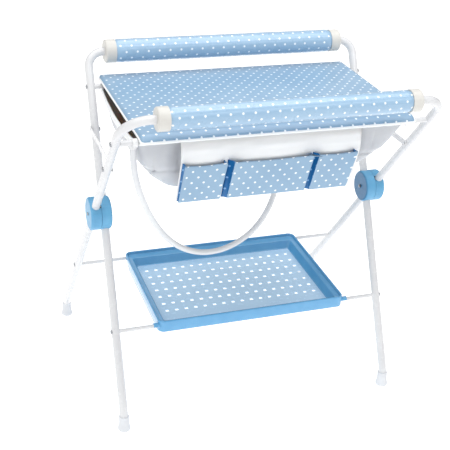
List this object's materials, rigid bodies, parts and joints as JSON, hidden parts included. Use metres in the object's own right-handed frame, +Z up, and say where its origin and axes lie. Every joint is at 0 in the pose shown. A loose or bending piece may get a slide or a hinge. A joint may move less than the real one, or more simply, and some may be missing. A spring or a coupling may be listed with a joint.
{
  "type": "changing table",
  "caption": "Folding scissor-frame changing table with side rolls, padded flip-up top over a soft bath, pocket panel, drain hose and shelf tray.",
  "frame": {"origin": "on the floor, at the centre of the object's footprint box", "axes": "+X to the right of someone standing at the front, +Y towards the rear, +Z up"},
  "size_m": [0.8536, 0.8218, 0.9612],
  "materials": {
    "white_enamel": "gloss powder coat",
    "foot_plastic": "satin moulded plastic",
    "cap_plastic": "satin moulded plastic",
    "dotted_vinyl": "soft coated fabric, light blue with small white dots",
    "blue_plastic": "gloss moulded plastic",
    "zinc_steel": "zinc plated",
    "white_vinyl": "soft coated fabric",
    "fitting_plastic": "gloss moulded plastic",
    "hose_rubber": "soft satin hose",
    "board": "plain sheet",
    "tray_plastic": "gloss moulded plastic"
  },
  "bodies": {
    "inner_frame": {"inner_leg_left": "white_enamel", "inner_leg_right": "white_enamel", "foot_front_left": "foot_plastic", "foot_front_right": "foot_plastic", "rear_roll_bar": "white_enamel", "rear_roll_pad": "dotted_vinyl", "rear_roll_cap_left": "cap_plastic", "rear_roll_cap_right": "cap_plastic", "rear_tub_bar": "white_enamel", "front_tray_bar": "white_enamel", "inner_frame_rivets": "zinc_steel", "hub_inner_shell_left": "blue_plastic", "hub_inner_shell_right": "blue_plastic", "hub_bolt_left": "zinc_steel", "hub_bolt_right": "zinc_steel", "hub_nut_left": "zinc_steel", "hub_nut_right": "zinc_steel", "brace_pins": "zinc_steel", "bath_hem_rear": "white_vinyl"},
    "outer_frame": {"outer_leg_left": "white_enamel", "outer_leg_right": "white_enamel", "foot_rear_left": "foot_plastic", "foot_rear_right": "foot_plastic", "front_roll_bar": "white_enamel", "front_roll_pad": "dotted_vinyl", "front_roll_cap_left": "cap_plastic", "front_roll_cap_right": "cap_plastic", "front_tub_bar": "white_enamel", "rear_tray_bar": "white_enamel", "outer_frame_rivets": "zinc_steel", "hub_outer_shell_left": "blue_plastic", "hub_outer_shell_right": "blue_plastic", "bath_tub": "white_vinyl", "bath_drain": "fitting_plastic", "drain_hose": "hose_rubber", "hose_stopper": "fitting_plastic", "hose_holder": "fitting_plastic", "bath_hem_front": "white_vinyl"},
    "top_hinge": {"hinge_sleeves": "cap_plastic"},
    "changing_top": {"top_core": "board", "top_pad": "dotted_vinyl", "top_piping": "white_vinyl", "top_hinge_eyes": "cap_plastic"},
    "tray": {"tray": "tray_plastic"},
    "pocket_panel": {"pocket_backing": "white_vinyl", "pocket_sleeve": "white_vinyl", "pocket_left": "dotted_vinyl", "pocket_middle": "dotted_vinyl", "pocket_right": "dotted_vinyl"},
    "brace_upper_left": {"brace_upper_link_left": "white_enamel"},
    "brace_lower_left": {"brace_lower_link_left": "white_enamel"},
    "brace_upper_right": {"brace_upper_link_right": "white_enamel"},
    "brace_lower_right": {"brace_lower_link_right": "white_enamel"}
  },
  "joints": [
    {"name": "fold", "type": "hinge", "parent": "inner_frame", "child": "outer_frame", "pos_m": [0, -0.06209, 0.542], "axis": [-1, 0, 0], "range_deg": [0, 42], "deforming": ["bath_tub"]},
    {"name": "top_lift", "type": "hinge", "parent": "inner_frame", "child": "top_hinge", "pos_m": [0, 0.06581, 0.847], "axis": [-1, 0, 0], "range_deg": [0, 31.93]},
    {"name": "top_flip", "type": "hinge", "parent": "top_hinge", "child": "changing_top", "pos_m": [0, 0.06581, 0.847], "axis": [-1, 0, 0], "range_deg": [0, 47]},
    {"name": "tray_tilt", "type": "hinge", "parent": "inner_frame", "child": "tray", "pos_m": [0, -0.18433, 0.2505], "axis": [1, 0, 0], "range_deg": [0, 25.21]},
    {"name": "pocket_swing", "type": "hinge", "parent": "outer_frame", "child": "pocket_panel", "pos_m": [0, -0.31424, 0.8165], "axis": [1, 0, 0], "range_deg": [0, 42]},
    {"name": "brace_upper_left_turn", "type": "hinge", "parent": "inner_frame", "child": "brace_upper_left", "pos_m": [-0.39515, 0.02261, 0.744], "axis": [1, 0, 0], "range_deg": [0, 38.03]},
    {"name": "brace_lower_left_turn", "type": "hinge", "parent": "brace_upper_left", "child": "brace_lower_left", "pos_m": [-0.39695, -0.10044, 0.73527], "axis": [-1, 0, 0], "range_deg": [0, 134.13]},
    {"name": "brace_upper_right_turn", "type": "hinge", "parent": "inner_frame", "child": "brace_upper_right", "pos_m": [0.39515, 0.02261, 0.744], "axis": [1, 0, 0], "range_deg": [0, 38.03]},
    {"name": "brace_lower_right_turn", "type": "hinge", "parent": "brace_upper_right", "child": "brace_lower_right", "pos_m": [0.39695, -0.10044, 0.73527], "axis": [-1, 0, 0], "range_deg": [0, 134.13]}
  ],
  "couplings": [
    {"joint": "top_lift", "follows": "fold", "ratio": 0.76},
    {"joint": "tray_tilt", "follows": "fold", "ratio": 0.6},
    {"joint": "pocket_swing", "follows": "fold", "ratio": 1},
    {"joint": "brace_upper_left_turn", "follows": "fold", "ratio": 0.905},
    {"joint": "brace_lower_left_turn", "follows": "fold", "ratio": 3.193},
    {"joint": "brace_upper_right_turn", "follows": "fold", "ratio": 0.905},
    {"joint": "brace_lower_right_turn", "follows": "fold", "ratio": 3.193}
  ]
}
